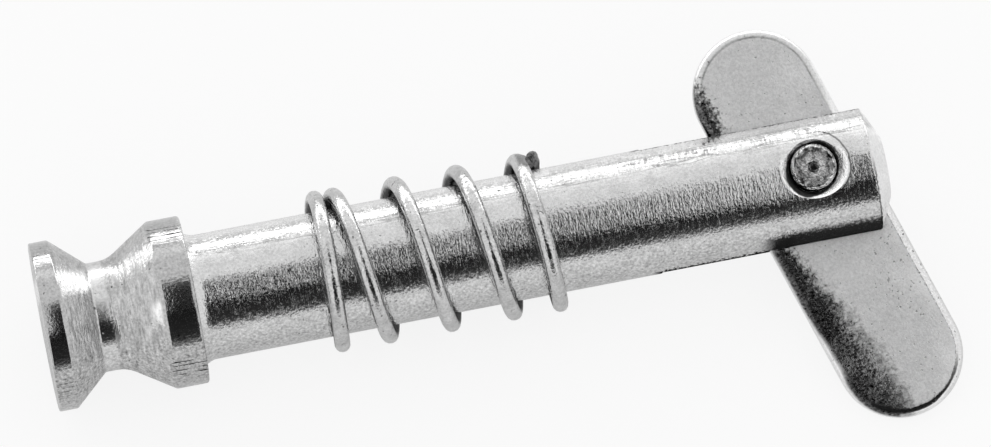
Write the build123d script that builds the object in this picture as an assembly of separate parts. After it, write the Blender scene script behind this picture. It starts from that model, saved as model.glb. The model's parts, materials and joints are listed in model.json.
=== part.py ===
from build123d import *
import math
import os

# Quick release pin with a swinging toggle nose and a loose return spring, in millimetres.
# The shaft runs along +X from the head to the nose. The origin is the centre of the collar's
# bearing face. The pin lies on its side on a level surface, rolled about its own axis until
# the long lobe of the toggle touches that surface beside the rims of the head.

# Shaft
shaft_diameter = 6.35
shaft_length = 35.5
root_ring_diameter = 6.75
root_ring_width = 0.4
nose_bevel_length = 0.78
nose_tip_diameter = 3.2

# Head, from the flange at the free end to the collar that carries the bearing face
flange_diameter = 8.6
flange_width = 0.95
flange_cone_angle = 41.7
neck_diameter = 5.55
neck_length = 1.07
collar_cone_angle = 33.0
collar_neck_radius = 1.8
collar_diameter = 8.55
collar_width = 1.65
rim_edge_break = 0.1
bearing_edge_break = 0.18

# Toggle, a flat stadium plate that swings in a sawn slot through the nose
toggle_length = 21.4
toggle_width = 6.45
toggle_thickness = 1.1
toggle_edge_radius = 0.4
toggle_centre_from_pivot = 2.79
toggle_rest_angle = 72.2
slot_side_clearance = 0.1
slot_end_clearance = 0.65
saw_diameter = 40.0

# Pivot pin, pressed into the toggle and free to turn in the two ears of the slot
pivot_from_nose = 3.75
pivot_offset = 0.53
pivot_pin_diameter = 2.3
pivot_ear_clearance = 0.1
pivot_pin_edge_break = 0.08
punch_mark_diameter = 0.6
punch_mark_depth = 0.25
countersink_diameter = 3.5
countersink_angle = 90.0

# Return spring, right-handed, with one closed turn at each end
wire_diameter = 0.8
wire_section_sides = 12
spring_shaft_clearance = 0.16
spring_from_collar = 6.07
closed_pitch = 0.86
open_pitch = 3.175
spring_turns = 5.25
closed_turns_head = 0.96
closed_turns_nose = 0.725
ramp_turns = 0.4
closed_turn_lean = 0.2
spring_side_shift = 0.1
spring_start_angle = -90.0

# Sizes that follow from the ones above
shaft_radius = shaft_diameter / 2
flange_radius = flange_diameter / 2
collar_radius = collar_diameter / 2
neck_radius = neck_diameter / 2
flange_cone_length = (flange_radius - neck_radius) / math.tan(math.radians(flange_cone_angle))
collar_cone_length = (collar_radius - neck_radius) / math.tan(math.radians(collar_cone_angle))
head_length = flange_width + flange_cone_length + neck_length + collar_cone_length + collar_width
slot_width = toggle_thickness + 2 * slot_side_clearance
toggle_end_radius = toggle_width / 2
lobe_spacing = toggle_length / 2 - toggle_end_radius
long_lobe_from_pivot = lobe_spacing + toggle_centre_from_pivot
short_lobe_from_pivot = lobe_spacing - toggle_centre_from_pivot
pivot_from_collar = shaft_length - pivot_from_nose
short_lobe_sweep = math.hypot(short_lobe_from_pivot, pivot_offset) + toggle_end_radius
slot_root_from_collar = pivot_from_collar - short_lobe_sweep - slot_end_clearance
pivot_pin_radius = pivot_pin_diameter / 2
ear_hole_radius = pivot_pin_radius + pivot_ear_clearance
spring_radius = shaft_radius + spring_shaft_clearance + wire_diameter / 2
axis_height = max(flange_radius, collar_radius)


def roll_angle():
    """The roll about X, in degrees, that brings the toggle's long lobe down to the rims."""
    swing = math.radians(toggle_rest_angle)
    below_pivot = long_lobe_from_pivot * math.sin(swing) + pivot_offset * math.cos(swing)
    reach = below_pivot - pivot_offset + toggle_end_radius - toggle_edge_radius
    half_flat = toggle_thickness / 2 - toggle_edge_radius
    height = axis_height - toggle_edge_radius
    whole = math.asin(height / math.hypot(reach, half_flat))
    return math.degrees(whole - math.atan2(half_flat, reach))


def corner(face, x, y):
    """The vertex of a flat profile that lies nearest to x, y."""
    return face.vertices().sort_by_distance((x, y, 0))[0]


def turned_blank():
    """Head and shaft, turned in one piece from bar."""
    flange_inner = -head_length + flange_width
    neck_start = flange_inner + flange_cone_length
    neck_end = neck_start + neck_length
    shaft_end = shaft_length - nose_bevel_length
    outline = Polyline(
        (-head_length, 0),
        (-head_length, flange_radius - rim_edge_break),
        (-head_length + rim_edge_break, flange_radius),
        (flange_inner, flange_radius),
        (neck_start, neck_radius),
        (neck_end, neck_radius),
        (-collar_width, collar_radius),
        (-bearing_edge_break, collar_radius),
        (0, collar_radius - bearing_edge_break),
        (0, root_ring_diameter / 2),
        (root_ring_width, shaft_radius),
        (shaft_end, shaft_radius),
        (shaft_length, nose_tip_diameter / 2),
        (shaft_length, 0),
        close=True,
    )
    profile = make_face(outline)
    profile = fillet(corner(profile, neck_end, neck_radius), collar_neck_radius)
    return revolve(profile, Axis.X)


def nose_slot():
    """The saw's cut, open at the nose and at both sides, with a root as round as the saw."""
    saw_radius = saw_diameter / 2
    blade_centre = slot_root_from_collar + saw_radius
    past_nose = shaft_length + shaft_diameter
    half_height = shaft_diameter
    root_x = blade_centre - math.sqrt(saw_radius**2 - half_height**2)
    outline = Wire(
        [
            ThreePointArc((root_x, half_height), (slot_root_from_collar, 0), (root_x, -half_height)),
            Line((root_x, -half_height), (past_nose, -half_height)),
            Line((past_nose, -half_height), (past_nose, half_height)),
            Line((past_nose, half_height), (root_x, half_height)),
        ]
    )
    return extrude(make_face(outline), slot_width / 2, both=True)


def ear_holes():
    """The cross hole through both ears, countersunk on the outside."""
    surface = math.sqrt(shaft_radius**2 - pivot_offset**2)
    spread = math.tan(math.radians(countersink_angle / 2))
    sink_radius = countersink_diameter / 2
    sink_depth = (sink_radius - ear_hole_radius) / spread
    rise = shaft_radius - surface + sink_depth
    cut = Cylinder(ear_hole_radius, 2 * shaft_diameter)
    for side in (0, 180):
        cone = Cone(ear_hole_radius, ear_hole_radius + rise * spread, rise)
        cut += Rot(side, 0, 0) * Pos(0, 0, surface - sink_depth + rise / 2) * cone
    return Pos(pivot_from_collar, pivot_offset, 0) * cut


def make_pin_body():
    return turned_blank() - nose_slot() - ear_holes()


def make_toggle():
    """The plate in line with the shaft, then swung about the pivot to where it rests."""
    plate = extrude(SlotOverall(toggle_length, toggle_width), toggle_thickness / 2, both=True)
    rims = plate.faces().sort_by(Axis.Z)[0].edges() + plate.faces().sort_by(Axis.Z)[-1].edges()
    plate = fillet(rims, toggle_edge_radius)
    plate = Pos(toggle_centre_from_pivot, -pivot_offset, 0) * plate
    plate -= Cylinder(pivot_pin_radius, 2 * toggle_thickness)
    return Pos(pivot_from_collar, pivot_offset, 0) * (Rot(0, 0, -toggle_rest_angle) * plate)


def make_pivot_pin():
    """A plain pin that stays inside the shaft's round, with a punch mark in each end."""
    half_length = math.sqrt(shaft_radius**2 - (pivot_offset + pivot_pin_radius) ** 2)
    pin = Cylinder(pivot_pin_radius, 2 * half_length)
    ends = pin.faces().sort_by(Axis.Z)
    pin = chamfer(ends[0].edges() + ends[-1].edges(), pivot_pin_edge_break)
    mark = Cone(0.0, punch_mark_diameter / 2, punch_mark_depth)
    for side in (0, 180):
        pin -= Rot(side, 0, 0) * Pos(0, 0, half_length - punch_mark_depth / 2) * mark
    return Pos(pivot_from_collar, pivot_offset, 0) * pin


def ramp_state(turn, start):
    """How far a change of pitch has gone, 0 to 1, and the open turns gained since it began."""
    t = min(max((turn - start) / ramp_turns, 0.0), 1.0)
    beyond = max(turn - start - ramp_turns, 0.0)
    return t**2 * (3 - 2 * t), ramp_turns * (t**3 - t**4 / 2) + beyond


def wire_point(turn):
    """The wire's centre; the closed turns lean, and the head end of the coil sits to one side."""
    opened, gained = ramp_state(turn, closed_turns_head)
    closed, lost = ramp_state(turn, spring_turns - closed_turns_nose - ramp_turns)
    angle = math.radians(spring_start_angle) + 2 * math.pi * turn
    lean = closed_turn_lean * (1 - opened - closed)
    advance = closed_pitch * turn + (open_pitch - closed_pitch) * (gained - lost)
    x = spring_from_collar + wire_diameter / 2 + advance + lean * math.cos(angle)
    y = spring_radius * math.cos(angle) + spring_side_shift * (1 - turn / spring_turns)
    return (x, y, spring_radius * math.sin(angle))


def make_return_spring():
    """The wire is swept with a many-sided section that holds as much steel as the round one."""
    steps = math.ceil(spring_turns * 12)
    path = Spline(*[wire_point(spring_turns * i / steps) for i in range(steps + 1)])
    sides = wire_section_sides
    share_of_circle = sides / (2 * math.pi) * math.sin(2 * math.pi / sides)
    section_radius = wire_diameter / 2 / math.sqrt(share_of_circle)
    section = Plane(origin=path @ 0, z_dir=path % 0) * RegularPolygon(section_radius, sides)
    return sweep(section, path=path, is_frenet=True)


os.makedirs("parts", exist_ok=True)
roll = roll_angle()
print("roll about X", round(roll, 3), "head length", round(head_length, 3))
print("slot root from collar", round(slot_root_from_collar, 3), "spring ends at", round(wire_point(spring_turns)[0], 3))
pieces = {
    "pin_body": make_pin_body(),
    "toggle": make_toggle(),
    "pivot_pin": make_pivot_pin(),
    "return_spring": make_return_spring(),
}
for name, piece in pieces.items():
    export_step(Rot(roll, 0, 0) * piece, f"parts/{name}.step")
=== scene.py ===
import json
import math

import bmesh
import bpy
from mathutils import Matrix, Vector


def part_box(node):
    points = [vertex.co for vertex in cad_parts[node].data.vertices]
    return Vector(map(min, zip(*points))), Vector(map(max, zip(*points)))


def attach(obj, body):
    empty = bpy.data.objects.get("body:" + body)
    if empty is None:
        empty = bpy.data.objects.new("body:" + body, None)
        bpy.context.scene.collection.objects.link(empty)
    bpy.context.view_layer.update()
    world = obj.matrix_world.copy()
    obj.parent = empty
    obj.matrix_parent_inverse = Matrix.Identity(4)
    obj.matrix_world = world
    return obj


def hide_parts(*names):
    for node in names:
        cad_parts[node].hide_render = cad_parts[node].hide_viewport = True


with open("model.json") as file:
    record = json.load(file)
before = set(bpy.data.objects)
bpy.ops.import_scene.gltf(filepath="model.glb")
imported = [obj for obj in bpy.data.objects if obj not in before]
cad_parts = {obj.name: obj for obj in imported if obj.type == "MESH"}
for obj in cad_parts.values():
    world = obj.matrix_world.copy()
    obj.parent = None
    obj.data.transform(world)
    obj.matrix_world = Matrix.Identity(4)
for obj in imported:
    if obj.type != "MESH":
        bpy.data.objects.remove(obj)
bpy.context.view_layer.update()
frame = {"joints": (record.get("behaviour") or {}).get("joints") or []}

# Everything is modelled in millimetres with the toggle's plane level, then rolled and scaled
# onto the frame.
mm = 0.001
swing = next(joint for joint in frame["joints"] if joint["name"] == "toggle_swing")
swingAxis = Vector(swing["axis"])
roll = math.atan2(-swingAxis.y, swingAxis.z)
ontoFrame = Matrix.Scale(mm, 4) @ Matrix.Rotation(roll, 4, "X")
pivot = Matrix.Rotation(-roll, 4, "X") @ (Vector(swing["pos_m"]) / mm)
bodyLow, bodyHigh = (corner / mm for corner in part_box("pin_body"))
headEnd, noseEnd = bodyLow.x, bodyHigh.x
headRadius = (bodyHigh.z - bodyLow.z) / 2
mergeWithin = 0.0005


def clearSelection():
    if bpy.context.object and bpy.context.object.mode != "OBJECT":
        bpy.ops.object.mode_set(mode="OBJECT")
    bpy.ops.object.select_all(action="DESELECT")


def selectWhere(test, kind="VERT"):
    # picks vertices, edges or faces of the open mesh by their place or normal
    bpy.ops.mesh.select_all(action="DESELECT")
    bpy.ops.mesh.select_mode(type=kind)
    mesh = bmesh.from_edit_mesh(bpy.context.object.data)
    parts = {"VERT": mesh.verts, "EDGE": mesh.edges, "FACE": mesh.faces}[kind]
    for part in parts:
        part.select_set(bool(test(part)))
    mesh.select_flush_mode()
    bmesh.update_edit_mesh(bpy.context.object.data)


def mergeAndTurnOut():
    # joins the open mesh's doubles and turns its faces outwards
    bpy.ops.mesh.select_all(action="SELECT")
    bpy.ops.mesh.remove_doubles(threshold=mergeWithin)
    bpy.ops.mesh.normals_make_consistent(inside=False)


def applyModifiers(obj):
    bpy.context.view_layer.objects.active = obj
    for name in [modifier.name for modifier in obj.modifiers]:
        bpy.ops.object.modifier_apply(modifier=name)


def roundedOutline(corners, steps):
    # each corner is (along, radius, break), and a break swaps it for a short curve of points
    points = [Vector(corner[:2]) for corner in corners]
    made = []
    for index, (here, corner) in enumerate(zip(points, corners)):
        size = corner[2]
        if not size:
            made.append(tuple(here))
            continue
        start = here + (points[index - 1] - here).normalized() * size
        end = here + (points[index + 1] - here).normalized() * size
        for step in range(steps + 1):
            t = step / steps
            made.append(tuple(start * (1 - t) ** 2 + here * 2 * t * (1 - t) + end * t**2))
    return made


def turnedShape(name, outline, sides, axis="X"):
    # draws half a section point by point, as (along, radius), and spins it round the axis
    def place(point):
        along, radius = point
        return Vector((along, 0, radius)) if axis == "X" else Vector((radius, 0, along))

    clearSelection()
    bpy.ops.mesh.primitive_plane_add(size=1)
    obj = bpy.context.object
    obj.name = name
    bpy.ops.object.mode_set(mode="EDIT")
    bpy.ops.mesh.select_mode(type="VERT")
    bpy.ops.mesh.select_all(action="SELECT")
    bpy.ops.mesh.merge(type="CENTER")
    bpy.ops.transform.translate(value=place(outline[0]))
    for before, after in zip(outline, outline[1:]):
        step = place(after) - place(before)
        bpy.ops.mesh.extrude_region_move(TRANSFORM_OT_translate={"value": step})
    bpy.ops.mesh.select_all(action="SELECT")
    turn = (1, 0, 0) if axis == "X" else (0, 0, 1)
    bpy.ops.mesh.spin(steps=sides, angle=2 * math.pi, center=(0, 0, 0), axis=turn)
    mergeAndTurnOut()
    bpy.ops.object.mode_set(mode="OBJECT")
    return obj


def cutWith(obj, cutter):
    cut = obj.modifiers.new("cut", "BOOLEAN")
    cut.operation = "DIFFERENCE"
    cut.solver = "EXACT"
    cut.object = cutter
    applyModifiers(obj)
    bpy.data.objects.remove(cutter)


def easeEdges(obj, width, sharperThan):
    ease = obj.modifiers.new("ease", "BEVEL")
    ease.limit_method = "ANGLE"
    ease.angle_limit = math.radians(sharperThan)
    ease.width = width
    ease.segments = 2
    applyModifiers(obj)


def finishPiece(obj, body, node, material, smoothAngle=35):
    # puts the piece onto the frame and ties it to its body
    obj.data.transform(ontoFrame)
    clearSelection()
    obj.select_set(True)
    bpy.context.view_layer.objects.active = obj
    bpy.ops.object.shade_smooth_by_angle(angle=math.radians(smoothAngle))
    obj.data.materials.clear()
    obj.data.materials.append(material)
    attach(obj, body)
    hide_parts(node)
    clearSelection()


class Field:
    # a value that varies over a surface; the usual signs add Math nodes
    def __init__(self, finish, socket):
        self.finish = finish
        self.socket = socket

    def maths(self, operation, other=None, swapped=False, clamp=False):
        values = [self] if other is None else ([other, self] if swapped else [self, other])
        settings = {"operation": operation, "use_clamp": clamp}
        return self.finish.node("ShaderNodeMath", settings, dict(enumerate(values)))

    def __add__(self, other):
        return self.maths("ADD", other)

    def __radd__(self, other):
        return self.maths("ADD", other, swapped=True)

    def __sub__(self, other):
        return self.maths("SUBTRACT", other)

    def __rsub__(self, other):
        return self.maths("SUBTRACT", other, swapped=True)

    def __mul__(self, other):
        return self.maths("MULTIPLY", other)

    def __rmul__(self, other):
        return self.maths("MULTIPLY", other, swapped=True)

    def __truediv__(self, other):
        return self.maths("DIVIDE", other)

    def __rtruediv__(self, other):
        return self.maths("DIVIDE", other, swapped=True)

    def absolute(self):
        return self.maths("ABSOLUTE")

    def root(self):
        return self.maths("SQRT")

    def clamped(self):
        return self.maths("ADD", 0.0, clamp=True)


class Finish:
    # the nodes of a new material or world
    # the black of the painted shade
    paintedShadeColour = (0.012, 0.012, 0.012, 1)

    def __init__(self, owner):
        owner.use_nodes = True
        self.owner = owner
        self.tree = owner.node_tree
        self.tree.nodes.clear()

    def node(self, kind, settings=None, sockets=None, output=0):
        made = self.tree.nodes.new(kind)
        for name, value in (settings or {}).items():
            if name == "stops":
                ramp = made.color_ramp
                while len(ramp.elements) < len(value):
                    ramp.elements.new(1.0)
                for element, (at, shade) in zip(ramp.elements, value):
                    element.position = at
                    element.color = (shade, shade, shade, 1)
            else:
                setattr(made, name, value)
        for key, value in (sockets or {}).items():
            if isinstance(value, Field):
                self.tree.links.new(value.socket, made.inputs[key])
            else:
                made.inputs[key].default_value = value
        return Field(self, made.outputs[output]) if made.outputs else None

    def place(self):
        # the object's own coordinates in millimetres, with the toggle's plane level
        raw = self.node("ShaderNodeTexCoord", output="Object")
        level = {"Vector": raw, "Rotation": (-roll, 0, 0), "Scale": (1 / mm,) * 3}
        return self.node("ShaderNodeMapping", {"vector_type": "POINT"}, level)

    def axes(self, vector):
        return [self.node("ShaderNodeSeparateXYZ", sockets={0: vector}, output=axis) for axis in "XYZ"]

    def stretched(self, vector, scale):
        return self.node("ShaderNodeVectorMath", {"operation": "MULTIPLY"}, {0: vector, 1: scale})

    def noise(self, vector, scale, detail=2.0, rough=0.5):
        # unevenness to both sides of nought
        sockets = {"Vector": vector, "Scale": scale, "Detail": detail, "Roughness": rough}
        return self.node("ShaderNodeTexNoise", {"noise_dimensions": "3D"}, sockets) - 0.5

    def between(self, value, low, high, outLow=0.0, outHigh=1.0):
        # goes softly from one level to another while the value goes from low to high
        sockets = {"Value": value, "From Min": low, "From Max": high, "To Min": outLow, "To Max": outHigh}
        return self.node("ShaderNodeMapRange", {"interpolation_type": "SMOOTHSTEP"}, sockets)

    def below(self, value, low, high, level=1.0):
        # the whole level below low, and nothing above high
        return self.between(value, low, high, level, 0.0)

    def near(self, value, low, high, level=1.0):
        # the same on both sides of the line where the value is nought
        return self.below(value.absolute(), low, high, level)

    def grey(self, value):
        return self.node("ShaderNodeCombineColor", sockets={0: value, 1: value, 2: value})

    def emission(self, colour):
        return self.node("ShaderNodeEmission", sockets={"Color": colour, "Strength": 1.0})

    def mixed(self, share, first, second):
        return self.node("ShaderNodeMixShader", sockets={0: share, 1: first, 2: second})

    def metal(self, shade, roughness, height, depth, paintedShade):
        # steel with bumps of the given depth in millimetres, and black painted shade mixed over it
        bumps = {"Height": height, "Distance": depth * mm, "Strength": 1.0}
        normal = self.node("ShaderNodeBump", sockets=bumps)
        steel = self.node("ShaderNodeBsdfPrincipled", sockets={
            "Base Color": self.grey(shade), "Metallic": 1.0, "Roughness": roughness, "Normal": normal})
        black = self.node("ShaderNodeBsdfDiffuse", sockets={"Color": self.paintedShadeColour})
        self.node("ShaderNodeOutputMaterial", sockets={"Surface": self.mixed(paintedShade, steel, black)})
        return self.owner


cameraView = {
    "distance": 705.0,
    "lens": 508.6,
    "yaw": 3.3,  # towards the head
    "tilt": -3.0,  # towards the pin's lower side
    "shaftRise": 11.01,  # how steeply the shaft climbs to the right
    "lookAlong": 15.64,
    "lookAbove": 0.88,
    "clip": (0.01, 20.0),  # in metres
}


def placeCamera(view):
    up = Vector((0, math.cos(roll), math.sin(roll)))
    normal = Vector((0, -math.sin(roll), math.cos(roll)))
    yaw, tilt = math.radians(view["yaw"]), math.radians(view["tilt"])
    back = (normal * math.cos(yaw) - Vector((1, 0, 0)) * math.sin(yaw)).normalized()
    back = (back * math.cos(tilt) + up * math.sin(tilt)).normalized()
    right = up.cross(back).normalized()
    above = back.cross(right)
    rise = math.radians(view["shaftRise"])
    cameraRight = right * math.cos(rise) - above * math.sin(rise)
    cameraUp = right * math.sin(rise) + above * math.cos(rise)
    target = Vector((view["lookAlong"], 0, 0)) + up * view["lookAbove"]
    place = (target + back * view["distance"]) * mm
    data = bpy.data.cameras.new("camera")
    camera = bpy.data.objects.new("camera", data)
    bpy.context.scene.collection.objects.link(camera)
    turn = Matrix((cameraRight, cameraUp, back)).transposed().to_4x4()
    camera.matrix_world = Matrix.Translation(place) @ turn
    data.lens = view["lens"]
    data.clip_start, data.clip_end = view["clip"]
    bpy.context.scene.camera = camera


placeCamera(cameraView)
print("camera placed")


pinBody = {
    "shaftRadius": 3.175,
    "rootRingRadius": 3.375,
    "rootRingWidth": 0.4,
    "noseBevelLength": 0.78,
    "noseTipRadius": 1.6,
    "flangeWidth": 0.95,
    "neckStart": -5.03,
    "neckEnd": -3.96,
    "neckRadius": 2.775,
    "collarRadius": 4.275,
    "collarWidth": 1.65,
    "slotWidth": 1.3,
    "slotRoot": 23.16,
    "sawRadius": 20.0,
    "earHoleRadius": 1.25,
    "sinkDepth": 0.5,
    # the worn mouth stands open just below the countersink
    "mouthRadius": 1.4,
    "mouthDepth": 0.4,
    "mouthTaper": 0.1,
    # how far each turned corner is broken
    "edgeBreak": 0.1,
    "coneBreak": 0.06,
    "neckBreak": 0.08,
    "collarNeckBreak": 0.5,
    "bearingEdgeBreak": 0.18,
    "ringBreak": 0.2,
    "bevelBreak": 0.1,
    "tipBreak": 0.12,
    "easedEdge": 0.035,
    "breakSteps": 4,
    "sides": 144,
    "sawSides": 512,
    "drillSides": 96,
    "drillReach": 0.6,  # how far the drill's cone stands out of the shaft
    # its turned finish: the steel's shade, and how much each of these changes it
    "steel": 0.64,
    "grain": 0.45,  # the fine unevenness
    "patches": 0.2,  # the wide one
    "pits": 0.35,
    "nicks": 0.6,
    "scratches": 0.2,
    "rings": 0.65,  # the turning marks on the cones
    "rim": 0.14,  # the rims are darker
    "bevel": 0.22,  # a painted highlight on the nose's bevel
    "paintedLight": 0.35,  # a painted highlight on each cone
    "shaftRoughness": 0.08,
    "toolMarks": 0.12,  # how much rougher the marks left by the tool are
    "wear": 0.02,  # how much duller the shaft is towards the nose
    "wornAlong": (9.0, 24.0),  # where along the shaft the wear begins and where it is full
    "rimRoughness": 0.13,
    "coneRoughness": 0.24,
    "bevelRoughness": 0.25,
    "pitDepth": 0.6,
    "nickDepth": 1.2,
    "bumpDepth": 0.018,
    "noseShadeStrength": 0.97,  # how dark the painted shade by the slot, in the hole and along the dark lines is
    "slotShadeAlong": (28.2, 29.4),  # where along the slot the painted shade beside it begins and where it is full
    "sinkRadius": 1.7,
    "sinkEdgeLineRadius": 1.82,
    # nicks stand side by side on the upper and the lower part of each rim
    "nicksPerMillimetre": 5.0,
    "nickedFrom": (2.85, 3.0),  # measured from the shaft's axis: where they begin and where they are full
    "nickedTo": (3.7, 3.8),  # and where they are full and where they end
    # strips along the shaft by their height over its axis, some painted brighter or darker:
    # where each begins and where it is full
    "paintedBrightStrip": (2.6, 2.95),
    "paintedDimStrip": (1.9, 2.15),
    "scratchedStrip": (1.6, 2.0),
    "paintedPaleStrip": (1.4, 1.8),
    "dullStrip": (0.8, 1.6),
    # and below the axis: where each is full and where it ends
    "grainyStrip": (-2.2, -1.6),
    "paintedDarkStrip": (-2.8, -1.9),
}


def makePinBody(piece):
    radius, collar, neck = piece["shaftRadius"], piece["collarRadius"], piece["neckRadius"]
    outline = roundedOutline([
        (headEnd, 0.0, 0),
        (headEnd, headRadius, piece["edgeBreak"]),
        (headEnd + piece["flangeWidth"], headRadius, piece["coneBreak"]),
        (piece["neckStart"], neck, piece["neckBreak"]),
        (piece["neckEnd"], neck, piece["collarNeckBreak"]),
        (-piece["collarWidth"], collar, piece["coneBreak"]),
        (0.0, collar, piece["bearingEdgeBreak"]),
        (0.0, piece["rootRingRadius"], 0),
        (piece["rootRingWidth"], radius, piece["ringBreak"]),
        (noseEnd - piece["noseBevelLength"], radius, piece["bevelBreak"]),
        (noseEnd, piece["noseTipRadius"], piece["tipBreak"]),
        (noseEnd, 0.0, 0),
    ], piece["breakSteps"])
    body = turnedShape("pinBody", outline, piece["sides"])

    clearSelection()
    sawPlace = (piece["slotRoot"] + piece["sawRadius"], 0, 0)
    bpy.ops.mesh.primitive_cylinder_add(
        vertices=piece["sawSides"], radius=piece["sawRadius"], depth=piece["slotWidth"], location=sawPlace)
    cutWith(body, bpy.context.object)

    # the drill's cone widens by as much as it rises
    hole, mouth, far = piece["earHoleRadius"], piece["mouthRadius"], radius + piece["drillReach"]
    sinkStart = math.sqrt(radius**2 - pivot.y**2) - piece["sinkDepth"]
    mouthEnd = sinkStart + mouth - hole
    mouthStart = mouthEnd - piece["mouthDepth"]
    half = [(mouthStart - piece["mouthTaper"], hole), (mouthStart, mouth), (mouthEnd, mouth),
            (far, hole + far - sinkStart), (far, 0)]
    section = [(-along, out) for along, out in reversed(half)] + half
    drill = turnedShape("drill", section, piece["drillSides"], "Z")
    drill.data.transform(Matrix.Translation((pivot.x, pivot.y, 0)))
    cutWith(body, drill)
    easeEdges(body, piece["easedEdge"], sharperThan=40)
    return body


def rimNicks(finish, piece, x, y, rim, wide, grain, streaks):
    # short nicks side by side along the two rims, fewer on the flange's
    aside = y.absolute()
    comb = (aside * piece["nicksPerMillimetre"] + streaks * 0.9 + grain * 0.25).maths("FRACT") - 0.5
    nicks = finish.near(comb, 0.02, 0.12) * rim * finish.between(x, -4.0, -3.0, 0.4, 1.0)
    nicks = nicks * finish.between(aside, *piece["nickedFrom"]) * finish.below(aside, *piece["nickedTo"])
    return nicks * finish.between(wide + streaks * 0.6, -0.12, -0.02)


def nosePaintedShade(finish, piece, x, y, z, wide, grain):
    # painted shade beside the slot's mouth and in the ear's hole, and thin dark lines by the countersink and
    # where the bevel begins; the countersink and the bevel are passed on for their painted highlights
    slotSide = piece["slotWidth"] / 2
    # painted shade on the ears beside the slot's mouth, strongest on the lower side by the toggle
    besideSlot = finish.below(z.absolute() + grain * 0.7, slotSide + 1.0, slotSide + 1.45)
    besideSlot = besideSlot * finish.between(x, *piece["slotShadeAlong"])
    besideSlot = besideSlot * finish.between(y, -1.0, 0.5, 1.0, 0.12)
    besideSlot = besideSlot * finish.between(grain, -0.2, 0.0, 0.92, 1.0)
    # painted shade inside the slot and along its edges, from its root on
    lip = finish.below(z.absolute() + grain * 1.2, slotSide + 0.01, slotSide + 0.15)
    lip = lip * finish.between(x - piece["slotRoot"], -0.36, 0.24)
    sideX, sideY = x - pivot.x, y - pivot.y
    beside = (sideX * sideX + sideY * sideY).root() + wide * 0.2
    nearPivot = finish.between(x, 20.0, 21.0)
    # the painted shade in the hole's mouth is wider along one diagonal
    mouth = (beside * beside - sideX * sideY * 0.3).root() + (sideX + sideY) * 0.05
    # painted shade in the gap round the pivot pin
    inHole = finish.below(mouth - piece["mouthRadius"], -0.06, 0.02) * nearPivot
    # a thin dark line round the right side of the countersink's outer edge
    sinkEdgeLine = finish.near(beside - piece["sinkEdgeLineRadius"], 0.02, 0.06) * nearPivot
    sinkEdgeLine = sinkEdgeLine * finish.between(sideX, 0.3, 0.9, 0.0, 0.7)
    # a painted highlight on the countersink, fading out above the hole
    sink = finish.below(beside - piece["sinkRadius"], -0.04, 0.04) * nearPivot * finish.below(sideY, 0.3, 1.1)
    pastBevel = x - (noseEnd - piece["noseBevelLength"])
    bevel = finish.between(pastBevel, -0.06, 0.08)
    # a thin dark line where the bevel begins
    bevelStartLine = finish.near(pastBevel + grain * 0.2, 0.01, 0.07) * finish.below(y, -0.8, 0.8, 0.9)
    paintedShade = (besideSlot + lip + inHole) * (1 - bevel) + sinkEdgeLine + bevelStartLine
    return (paintedShade * piece["noseShadeStrength"]).clamped(), sink, bevel


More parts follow.
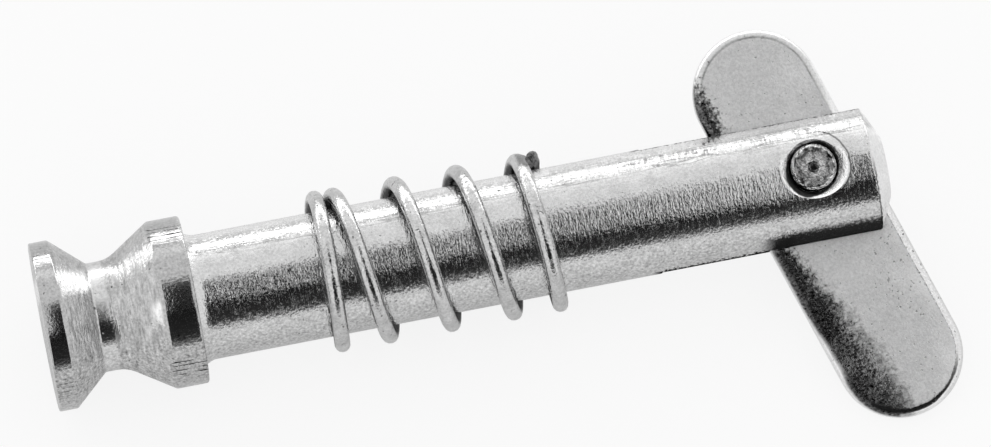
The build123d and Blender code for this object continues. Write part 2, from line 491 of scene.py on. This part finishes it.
def turnedSteel(piece):
    finish = Finish(bpy.data.materials.new("turnedSteel"))
    place = finish.place()
    x, y, z = finish.axes(place)
    head = finish.below(x, -0.3, 0.0)
    rim = finish.between((y * y + z * z).root() - piece["collarRadius"], -0.155, -0.055)
    neck = finish.between(x - piece["neckStart"], -0.07, 0.03)
    neck = neck * finish.below(x - piece["neckEnd"], -0.44, -0.24)
    cone = head * (1 - rim) * (1 - neck)
    shaft = 1 - head
    worn = finish.between(x, *piece["wornAlong"])
    # short marks round the shaft from the tool, with a finer grain over them
    marks = finish.noise(finish.stretched(place, (8.0, 2.0, 2.0)), 1.0, 2.0, 0.65)
    rings = finish.noise(finish.stretched(place, (7.0, 1.3, 1.3)), 1.0, 2.0, 0.6)
    grain = finish.noise(place, 7.0, 2.0, 0.6)
    wide = finish.noise(place, 1.1)
    rough = finish.between(rings * 0.6 + grain * 0.4, -0.05, 0.07)
    pits = finish.between(finish.noise(place, 4.5, 1.0), 0.24, 0.29)
    # fine scratches along the shaft where the spring slides
    around = {0: x * 0.2, 1: y.maths("ARCTAN2", z) * 9.0}
    streaks = finish.noise(finish.node("ShaderNodeCombineXYZ", sockets=around), 1.0, 2.0, 0.6)
    scratched = finish.near(streaks - 0.02, 0.01, 0.05) * finish.between(y, *piece["scratchedStrip"])
    scratched = scratched * finish.between(y, 2.5, 2.8, 1.0, 0.3) * shaft
    nicks = rimNicks(finish, piece, x, y, rim, wide, grain, streaks)
    paintedShade, sink, bevel = nosePaintedShade(finish, piece, x, y, z, wide, grain)

    shade = piece["steel"] + grain * piece["grain"] + wide * piece["patches"]
    shade = shade - pits * piece["pits"] - nicks * piece["nicks"]
    # painted highlights on the countersink and on the nose's bevel
    shade = shade + sink * 0.3 + bevel * piece["bevel"]
    shade = shade - rim * piece["rim"] - rim * finish.between(wide, -0.1, 0.1) * 0.06
    shade = shade - cone * 0.15 - rings * cone * piece["rings"]
    shade = shade - scratched * (piece["scratches"] + rough * 0.1)
    # painted strips: the highlight dimmer towards the nose, the top edge and a strip under it brighter
    shade = shade - finish.between(y, *piece["paintedDimStrip"]) * worn * (0.08 + rough * 0.12)
    shade = shade + finish.between(y, *piece["paintedBrightStrip"]) * shaft * 0.22
    shade = shade + finish.between(y, *piece["paintedPaleStrip"]) * worn * 0.08
    shade = shade + grain * finish.below(y, *piece["grainyStrip"], 0.6)
    # painted shade on the shaft's underside
    shade = shade - finish.below(y, *piece["paintedDarkStrip"], 0.06) * shaft
    # a painted highlight on each cone
    paintedGlintCones = finish.between(x, -2.7, -1.9) + finish.below(x, -5.3, -5.1)
    paintedGlintHeight = finish.between(x, -5.2, -4.8, 1.8, -0.6)
    paintedLight = finish.near(y - paintedGlintHeight + grain * 0.8, 0.3, 0.8, piece["paintedLight"])
    shade = shade + paintedLight * paintedGlintCones * cone

    onShaft = piece["shaftRoughness"] + worn * piece["wear"]
    onShaft = onShaft + rough * (piece["toolMarks"] + (1 - worn) * 0.05)
    onShaft = onShaft + finish.between(y, *piece["dullStrip"]) * (0.05 + worn * (0.03 + rough * 0.16))
    onShaft = onShaft + bevel * piece["bevelRoughness"]
    onRim = piece["rimRoughness"] + wide * 0.06 + grain * 0.08
    onNeck = onRim + finish.between(y, -1.0, 0.4, 0.0, 0.16)
    onCone = piece["coneRoughness"] + rings * 0.6 + wide * 0.3
    roughness = onShaft * shaft + onRim * rim + onNeck * neck + onCone * cone

    height = marks * (1.5 - worn * 0.3) * shaft + grain * (0.8 - rim * 0.2) + rings * 1.4 * cone
    height = height - pits * (1 - rim) * piece["pitDepth"] - nicks * piece["nickDepth"]
    return finish.metal(shade.clamped(), roughness.clamped(), height, piece["bumpDepth"], paintedShade)


finishPiece(makePinBody(pinBody), "pin", "pin_body", turnedSteel(pinBody))
print("pin body made")


togglePlate = {
    "length": 21.4,
    "width": 6.45,
    "thickness": 1.1,
    "edgeRadius": 0.4,
    "centreFromPivot": 2.79,
    "restAngle": 72.2,
    "sides": 96,  # round both ends together
    "edgeSteps": 7,
    "insetStep": 0.2,
    "insets": 11,
    # where the edge is rolled over: how far along the plate, on which side, how deep, how wide
    "rollovers": [
        (4.6, -1, 0.10, 1.3), (6.0, -1, 0.12, 1.6), (7.4, -1, 0.13, 1.9), (-5.0, -1, 0.14, 1.3),
        (-3.6, -1, 0.10, 1.3), (2.0, -1, 0.06, 1.1), (0.2, -1, 0.05, 1.0), (-8.0, 1, 0.04, 1.2),
        (-4.0, 1, 0.04, 1.1), (0.0, 1, 0.05, 1.1), (4.0, 1, 0.06, 1.2), (8.0, 1, 0.06, 1.2),
    ],
    "rolloverInset": 0.35,
    "rolloverGrip": 0.5,  # the reach of what is pushed down whole
    # its pressed finish: the steel's shade, and how much the grain and the pits change it
    "steel": 0.88,
    "grain": 0.5,
    "pits": 0.45,
    "roughness": 0.46,
    "edgeRoughness": 0.12,
    # painted shade: the rubbed strip's steel is painted this dark
    "paintedShadeSteel": 0.13,
    "rubbedRoughness": 0.12,
    # how wide the smoother, painted-dark strip along one edge is, at the short end and at the long one
    "rubbedReach": (0.9, 2.55),
    "burnishedInset": 0.4,  # how far in from the outline the burnished edge reaches
    "darkCrescentInset": 0.33,  # and where a painted dark crescent lies on the long end's rounded edge
    "bumpDepth": 0.016,
    # how dark the painted shade is
    "paintedShade": 0.9,
}


def makeToggle(piece):
    radius, half = piece["width"] / 2, piece["thickness"] / 2
    spacing = piece["length"] / 2 - radius
    clearSelection()
    bpy.ops.mesh.primitive_circle_add(
        vertices=piece["sides"], radius=radius, rotation=(0, 0, math.pi / piece["sides"]))
    obj = bpy.context.object
    obj.name = "togglePlate"
    bpy.ops.object.transform_apply(location=True, rotation=True, scale=True)
    bpy.ops.object.mode_set(mode="EDIT")
    for side in (1, -1):
        selectWhere(lambda vert: vert.co.x * side > 0)
        bpy.ops.transform.translate(value=(side * spacing, 0, -half))
    # the two long edges get about as many corners as the round ends
    selectWhere(lambda edge: edge.calc_length() > spacing, "EDGE")
    bpy.ops.mesh.subdivide(number_cuts=piece["sides"] // 2 - 1)
    bpy.ops.mesh.select_all(action="SELECT")
    bpy.ops.mesh.edge_face_add()
    bpy.ops.mesh.extrude_region_move(TRANSFORM_OT_translate={"value": (0, 0, 2 * half)})
    bpy.ops.mesh.select_all(action="SELECT")
    bpy.ops.mesh.normals_make_consistent(inside=False)
    sharp = math.radians(60)
    selectWhere(lambda edge: edge.calc_face_angle(0) > sharp, "EDGE")
    bpy.ops.mesh.bevel(offset=piece["edgeRadius"], segments=piece["edgeSteps"], affect="EDGES")
    for level in (1, -1):
        # the flat faces have far more corners than the ones of the rounded edge
        selectWhere(lambda face: face.normal.z * level > 0.999 and len(face.verts) > 20, "FACE")
        for _ in range(piece["insets"]):
            bpy.ops.mesh.inset(thickness=piece["insetStep"])
    # the punched side is rolled over along its edges, the other side stays flat
    selectWhere(lambda face: face.calc_center_median().z < 0, "FACE")
    bpy.ops.mesh.hide()
    for along, side, drop, reach in piece["rollovers"]:
        spot = Vector((along, side * (radius - piece["rolloverInset"]), half))
        selectWhere(lambda vert: not vert.hide and (vert.co - spot).length < piece["rolloverGrip"])
        bpy.ops.transform.translate(
            value=(0, 0, -drop), use_proportional_edit=True, use_proportional_connected=True,
            proportional_edit_falloff="SMOOTH", proportional_size=reach)
    bpy.ops.mesh.reveal()
    bpy.ops.object.mode_set(mode="OBJECT")
    obj.data.transform(Matrix.Translation((piece["centreFromPivot"], -pivot.y, 0)))
    turn = Matrix.Rotation(math.radians(-piece["restAngle"]), 4, "Z")
    obj.data.transform(Matrix.Translation((pivot.x, pivot.y, 0)) @ turn)
    return obj


def pressedSteel(piece):
    finish = Finish(bpy.data.materials.new("pressedSteel"))
    place = finish.place()
    # the plate's own directions, from its centre
    turn = math.radians(-piece["restAngle"])
    centre = Vector((piece["centreFromPivot"], -pivot.y, 0))
    centre.rotate(Matrix.Rotation(turn, 3, "Z"))
    centre += pivot
    x, y, z = finish.axes(place)
    along = (x - centre.x) * math.cos(turn) + (y - centre.y) * math.sin(turn)
    across = (y - centre.y) * math.cos(turn) - (x - centre.x) * math.sin(turn)
    half = piece["width"] / 2
    spacing = piece["length"] / 2 - half
    beyond = (along.absolute() - spacing).maths("MAXIMUM", 0.0)
    inset = half - (beyond * beyond + across * across).root()
    upperSide = finish.between(z, 0.2, 0.4)
    fine = finish.noise(place, 8.0, 2.0, 0.7)
    wide = finish.noise(place, 0.8)
    lumps = finish.noise(place, 4.5, 2.0, 0.6)
    scratches = finish.noise(finish.stretched(place, (5.0, 9.0, 5.0)), 1.0, 3.0, 0.7)
    # the pits crowd together in one patch
    patch = finish.between(across, 0.0, 1.2) * finish.between(along, 0.5, 3.0)
    patch = patch * finish.below(along, 5.0, 7.0, 0.05)
    pits = finish.between(finish.noise(place, 5.0) + patch, 0.18, 0.24)
    # one long edge is rubbed smooth and carries painted shade, wider towards the long end
    reach = finish.between(along, -2.0, 9.0, *piece["rubbedReach"])
    ragged = lumps * 1.6 + fine * 0.6
    paintedLight = finish.below((across + half + ragged) / reach, 0.5, 1.2) * upperSide
    # the rounded edge is burnished, less so at the short end
    pastEdge = inset - piece["burnishedInset"]
    burnished = finish.below(pastEdge + lumps * 0.15, -0.04, 0.06)
    burnished = burnished * finish.between(along, -5.0, -2.0, 0.3, 1.0)
    # a painted dark crescent on the long end's rounded edge, near where it meets the face
    darkCrescent = finish.near(inset - piece["darkCrescentInset"] + lumps * 0.1, 0.03, 0.11)
    paintedShade = darkCrescent * finish.between(along, 8.4, 9.8) * upperSide
    # and painted shade along the rubbed edge, just past its bright rim
    beyondRim = finish.between(inset + lumps * 0.1, 0.1, 0.18) * finish.below(inset, 0.35, 0.6)
    beyondRim = beyondRim * finish.between(fine, -0.1, 0.1, 0.4, 0.75)
    beyondRim = beyondRim * finish.between(along, -4.0, -2.0, 0.3, 1.0)
    paintedShade = (paintedShade + paintedLight * beyondRim).clamped() * piece["paintedShade"]

    shade = piece["steel"] + fine * piece["grain"] + wide * 0.05 - pits * piece["pits"]
    # painted shade darkens the rubbed strip, where its scratches show lighter
    shade = shade - paintedLight * (piece["steel"] - piece["paintedShadeSteel"]) + paintedLight * scratches * 0.9
    # painted shade keeps the short end's bright rim to its very edge, with a thin painted dark line inside it
    shortEnd = finish.below(along, -6.5, -4.5) * (1 - paintedLight)
    shade = shade - shortEnd * finish.between(inset, 0.08, 0.16) * finish.below(inset, 0.36, 0.5, 0.24)
    line = finish.near(pastEdge + lumps * 0.06, 0.02, 0.06, 0.25)
    shade = shade - shortEnd * line * finish.between(wide, -0.1, 0.1)
    # on the far long edge the rim is painted dimmer, and a painted soft highlight fades from it into the face
    farSide = finish.between(across, 0.5, 1.5) * finish.between(along, -2.0, 0.0)
    shade = shade + farSide * (finish.below(inset, 0.4, 1.2, 0.12) - burnished * 0.25)

    dull = piece["roughness"] + wide * 0.08 + fine * 0.1
    # under its painted shade the strip is also rubbed smoother and scratched
    dull = dull - paintedLight * (piece["roughness"] - piece["rubbedRoughness"])
    roughness = dull * (1 - burnished) + burnished * piece["edgeRoughness"]
    height = fine * 0.7 * (1 - burnished) - pits * 1.6 + (scratches * 1.2 + lumps) * paintedLight
    return finish.metal(shade.clamped(), roughness.clamped(), height, piece["bumpDepth"], paintedShade)


finishPiece(makeToggle(togglePlate), "toggle", "toggle", pressedSteel(togglePlate), 50)
print("toggle made")


pivotPin = {
    "radius": 1.15,
    "edgeBreak": 0.1,
    "edgeRound": 0.03,
    "markRadius": 0.3,
    "markDepth": 0.25,
    "markRound": 0.06,
    # the mark's point is blunt
    "markTipRadius": 0.075,
    "markTipDepth": 0.225,
    "breakSteps": 3,
    "sides": 64,
    # its finish: the steel's shade, and how much each of these changes it
    "steel": 0.34,
    "lumps": 1.8,
    "grain": 0.5,
    "blotches": 0.24,
    "raisedRingAndHighlight": 0.4,  # the ring that the punch has thrown up, with a painted highlight
    "paintedLight": 0.6,  # a painted highlight on the rim
    "roughness": 0.2,
    "bumpDepth": 0.12,
    # how dark the painted shade is
    "paintedShade": 0.9,
}


def makePivotPin(piece):
    radius, edge, mark = piece["radius"], piece["edgeBreak"], piece["markRadius"]
    half = math.sqrt(pinBody["shaftRadius"] ** 2 - (pivot.y + radius) ** 2)
    section = [
        (half - piece["markDepth"], 0, 0),
        (half - piece["markTipDepth"], piece["markTipRadius"], 0),
        (half, mark, piece["markRound"]),
        (half, radius - edge, piece["edgeRound"]),
        (half - edge, radius, 0),
    ]
    section = section + [(-along, out, size) for along, out, size in reversed(section)]
    pin = turnedShape("pivotPin", roundedOutline(section, piece["breakSteps"]), piece["sides"], "Z")
    pin.data.transform(Matrix.Translation((pivot.x, pivot.y, 0)))
    return pin


def pivotSteel(piece):
    finish = Finish(bpy.data.materials.new("pivotSteel"))
    place = finish.place()
    x, y = finish.axes(place)[:2]
    out = ((x - pivot.x) * (x - pivot.x) + (y - pivot.y) * (y - pivot.y)).root()
    lumps = finish.noise(place, 3.8, 3.0, 0.6)
    fine = finish.noise(place, 12.0)
    # the ring round the punch mark is broken and painted brighter, and the rim has a painted highlight
    raisedRingAndHighlight = finish.between(out, 0.22, 0.3) * finish.below(out + lumps * 2.5, 0.42, 0.7)
    paintedLight = finish.between(out - piece["radius"] + lumps * 0.3, -0.17, -0.11)
    blotches = finish.between(finish.noise(place, 2.6), 0.0, 0.08)
    shade = piece["steel"] + lumps * piece["lumps"] + fine * piece["grain"]
    shade = shade - blotches * piece["blotches"] + raisedRingAndHighlight * piece["raisedRingAndHighlight"] + paintedLight * piece["paintedLight"]
    height = lumps * 3.0 + fine * 0.8 + raisedRingAndHighlight * 0.6
    # painted shade in the punch mark's centre
    paintedShade = finish.below(out, 0.08, 0.2, piece["paintedShade"])
    return finish.metal(shade.clamped(), piece["roughness"], height, piece["bumpDepth"], paintedShade)


finishPiece(makePivotPin(pivotPin), "toggle", "pivot_pin", pivotSteel(pivotPin))
print("pivot pin made")


returnSpring = {
    "wireRadius": 0.4,
    "coilRadius": 3.735,
    "fromCollar": 6.07,
    "closedPitch": 0.86,
    "openPitch": 3.175,
    "turns": 5.25,
    "closedTurnsHead": 0.96,
    "closedTurnsNose": 0.725,
    "rampTurns": 0.4,
    "closedTurnLean": 0.2,
    "sideShift": 0.1,
    "stepsPerTurn": 56,
    "wireResolution": 5,  # the wire has twice as many sides and four more
    "endPinch": 0.85,  # how far the cutters squeezed the inner side of the cut end
    "pinchLength": 0.7,
    "easedEdge": 0.05,
    # its drawn finish: the steel's shade, and how much each of these changes it
    "steel": 0.58,
    "grain": 0.5,
    "patches": 0.4,
    "nicks": 0.35,
    "sheared": 0.5,  # the cut end is darker
    "roughness": 0.12,
    "bumpDepth": 0.024,
    # how dark the painted shade is
    "paintedShade": 0.85,
}


def wireCentre(turn, piece):
    # the closed turn at each end leans, and the pitch opens and closes over a short ramp
    ramp, radius = piece["rampTurns"], piece["coilRadius"]
    openTo = piece["turns"] - piece["closedTurnsNose"] - ramp
    lean, openTurns = 1.0, 0.0
    for start, sign in ((piece["closedTurnsHead"], 1), (openTo, -1)):
        share = min(max((turn - start) / ramp, 0.0), 1.0)
        lean -= share**2 * (3 - 2 * share)
        openTurns += sign * (ramp * (share**3 - share**4 / 2) + max(turn - start - ramp, 0.0))
    angle = 2 * math.pi * turn - math.pi / 2
    along = piece["fromCollar"] + piece["wireRadius"] + piece["closedPitch"] * turn
    along += (piece["openPitch"] - piece["closedPitch"]) * openTurns
    return Vector((
        along + piece["closedTurnLean"] * lean * math.cos(angle),
        radius * math.cos(angle) + piece["sideShift"] * (1 - turn / piece["turns"]),
        radius * math.sin(angle)))


def pinchCutEnd(mesh, piece):
    # the cutters left the inner side of the wire's end thin
    end, wire, length = wireCentre(piece["turns"], piece), piece["wireRadius"], piece["pinchLength"]
    for vert in mesh.verts:
        below = end.z - vert.co.z
        if (vert.co - end).length < length + wire and below < length:
            inside = min(max((end.y + wire - vert.co.y) / (2 * wire), 0.0), 1.0)
            pinch = piece["endPinch"] * inside * min(1 - below / length, 1.0)
            vert.co.x = end.x + (vert.co.x - end.x) * (1 - pinch)


def makeReturnSpring(piece):
    # the coil's pitch varies, so the wire follows a curve and becomes a mesh afterwards
    data = bpy.data.curves.new("returnSpring", "CURVE")
    data.dimensions = "3D"
    data.bevel_depth = piece["wireRadius"]
    data.bevel_resolution = piece["wireResolution"]
    data.use_fill_caps = True
    count = math.ceil(piece["turns"] * piece["stepsPerTurn"])
    run = data.splines.new("POLY")
    run.points.add(count)
    for index, point in enumerate(run.points):
        point.co = (*wireCentre(piece["turns"] * index / count, piece), 1.0)
    obj = bpy.data.objects.new("returnSpring", data)
    bpy.context.scene.collection.objects.link(obj)
    clearSelection()
    obj.select_set(True)
    bpy.context.view_layer.objects.active = obj
    bpy.ops.object.convert(target="MESH")
    obj = bpy.context.object
    bpy.ops.object.mode_set(mode="EDIT")
    mergeAndTurnOut()
    pinchCutEnd(bmesh.from_edit_mesh(obj.data), piece)
    bmesh.update_edit_mesh(obj.data)
    bpy.ops.object.mode_set(mode="OBJECT")
    easeEdges(obj, piece["easedEdge"], sharperThan=60)
    return obj


def drawnSteel(piece):
    finish = Finish(bpy.data.materials.new("drawnSteel"))
    place = finish.place()
    x, y, z = finish.axes(place)
    fine = finish.noise(place, 8.0, 2.0, 0.6)
    wide = finish.noise(place, 1.6)
    nicks = finish.between(finish.noise(place, 3.4, 1.0), 0.18, 0.24)
    # painted shade on the wire's inner half, where it faces the shaft
    outside = (y * y + z * z).root() - piece["coilRadius"]
    inner = finish.below(outside + fine * 0.2, -0.2, 0.14)
    # the sheared end is darker, with half the inner painted shade and a little black of its own
    end = wireCentre(piece["turns"], piece)
    sheared = finish.between(x - end.x, -1.01, -0.81) * finish.between(y - end.y, -0.535, -0.335)
    sheared = sheared * finish.between(z - end.z, -0.6, -0.3)
    shade = piece["steel"] + fine * piece["grain"] + wide * piece["patches"] - nicks * piece["nicks"]
    shade = shade * (1 - sheared * piece["sheared"])
    paintedShade = ((inner * (1 - sheared * 0.5) + sheared * 0.2) * piece["paintedShade"]).clamped()
    roughness = piece["roughness"] + fine * 0.2 + wide * 0.14
    height = fine * 0.9 + wide * 1.4 - nicks * 0.6
    return finish.metal(shade.clamped(), roughness.clamped(), height, piece["bumpDepth"], paintedShade)


spring = makeReturnSpring(returnSpring)
finishPiece(spring, "spring", "return_spring", drawnSteel(returnSpring), 50)
print("return spring made")


studio = {
    "floorSize": 6.0,
    "floorShade": 0.78,
    "floorGlow": 0.84,  # how far the floor is lifted to white for the camera
    "floorReflected": 0.25,  # the same in the steel's reflections
    "stripStrength": 3.0,
    "stripSize": (1.6, 0.12),
    "stripPlace": (0.015, 0.55, 0.065),  # in metres, low behind the pin
    "cardRadius": 500.0,
    "cardAlong": 62.0,  # how far the cards' middle lies from the collar, towards the nose
}


# each card's reach is measured round the shaft from the toggle's face, below it to above it
flagCard = {
    "reach": (-67.0, 29.0),
    "sideways": (27.0, 11.0),  # how wide its lower part and its upper part are
    "step": -14.0,  # where the width changes
    "stops": [
        (0.0, 0.7), (0.05, 0.35), (0.09, 0.13), (0.15, 0.04), (0.5, 0.018), (0.86, 0.035), (0.93, 0.12),
        (1.0, 0.7)],
}


bounceCard = {
    "reach": (66.0, 92.0),
    "sideways": (35.0, 35.0),
    "step": 80.0,
    "stops": [(0.0, 1.0), (0.12, 1.3), (0.55, 1.3), (0.66, 0.75), (0.82, 0.75), (0.9, 1.5), (1.0, 1.5)],
}


def makeFloor(settings):
    clearSelection()
    bpy.ops.mesh.primitive_plane_add(size=settings["floorSize"], location=(0, 0, bodyLow.z * mm))
    floor = bpy.context.object
    floor.name = "floor"
    finish = Finish(bpy.data.materials.new("paleFloor"))
    shade = settings["floorShade"]
    lit = finish.node("ShaderNodeBsdfDiffuse", sockets={"Color": (shade, shade, shade, 1)})
    camera, glossy, through = (
        finish.node("ShaderNodeLightPath", output=f"Is {kind} Ray")
        for kind in ("Camera", "Glossy", "Transmission"))
    seen = (camera * settings["floorGlow"] + (glossy + through) * settings["floorReflected"]).clamped()
    surface = finish.mixed(seen, lit, finish.emission((1, 1, 1, 1)))
    finish.node("ShaderNodeOutputMaterial", sockets={"Surface": surface})
    floor.data.materials.append(finish.owner)


def makeCard(name, card, settings):
    # a curved card above the pin, seen only in reflections
    clearSelection()
    bpy.ops.mesh.primitive_grid_add(x_subdivisions=8, y_subdivisions=60, size=1)
    obj = bpy.context.object
    obj.name = name
    bpy.ops.object.mode_set(mode="EDIT")
    mesh = bmesh.from_edit_mesh(obj.data)
    low, high = (math.radians(angle) for angle in card["reach"])
    lower, upper = (math.tan(math.radians(angle)) for angle in card["sideways"])
    radius, change = settings["cardRadius"], math.radians(card["step"])
    softness = 0.1  # the angle in radians over which its width changes
    for vert in mesh.verts:
        angle = low + (high - low) * (vert.co.y + 0.5)
        share = min(max((angle - change) / softness + 0.5, 0.0), 1.0)
        sideways = vert.co.x * 2 * radius * (lower + (upper - lower) * share) + settings["cardAlong"]
        vert.co = Vector((sideways, math.sin(angle) * radius, math.cos(angle) * radius))
    bmesh.update_edit_mesh(obj.data)
    bpy.ops.object.mode_set(mode="OBJECT")
    obj.data.transform(ontoFrame)
    finish = Finish(bpy.data.materials.new(name))
    y, z = finish.axes(finish.place())[1:]
    share = (y.maths("ARCTAN2", z) - low) / (high - low)
    glow = finish.emission(finish.node("ShaderNodeValToRGB", {"stops": card["stops"]}, {0: share}))
    finish.node("ShaderNodeOutputMaterial", sockets={"Surface": glow})
    obj.data.materials.append(finish.owner)
    obj.visible_camera = False
    obj.visible_diffuse = False
    obj.visible_shadow = False


def makeStrip(settings):
    # a long soft light low behind the pin; its power follows from its brightness and its area
    data = bpy.data.lights.new("strip", "AREA")
    data.shape = "RECTANGLE"
    data.size, data.size_y = settings["stripSize"]
    data.energy = settings["stripStrength"] * math.pi * data.size * data.size_y
    strip = bpy.data.objects.new("strip", data)
    bpy.context.scene.collection.objects.link(strip)
    place = Vector(settings["stripPlace"])
    strip.matrix_world = Matrix.Translation(place) @ (-place).to_track_quat("-Z", "Z").to_matrix().to_4x4()


def makeWorld():
    world = bpy.data.worlds.new("studioWorld")
    bpy.context.scene.world = world
    finish = Finish(world)
    white = finish.node("ShaderNodeBackground", sockets={"Color": (1, 1, 1, 1), "Strength": 1.0})
    finish.node("ShaderNodeOutputWorld", sockets={"Surface": white})


makeFloor(studio)
makeCard("flag", flagCard, studio)
makeCard("bounce", bounceCard, studio)
makeStrip(studio)
makeWorld()
bpy.context.scene.view_settings.view_transform = "Standard"
print("studio set")
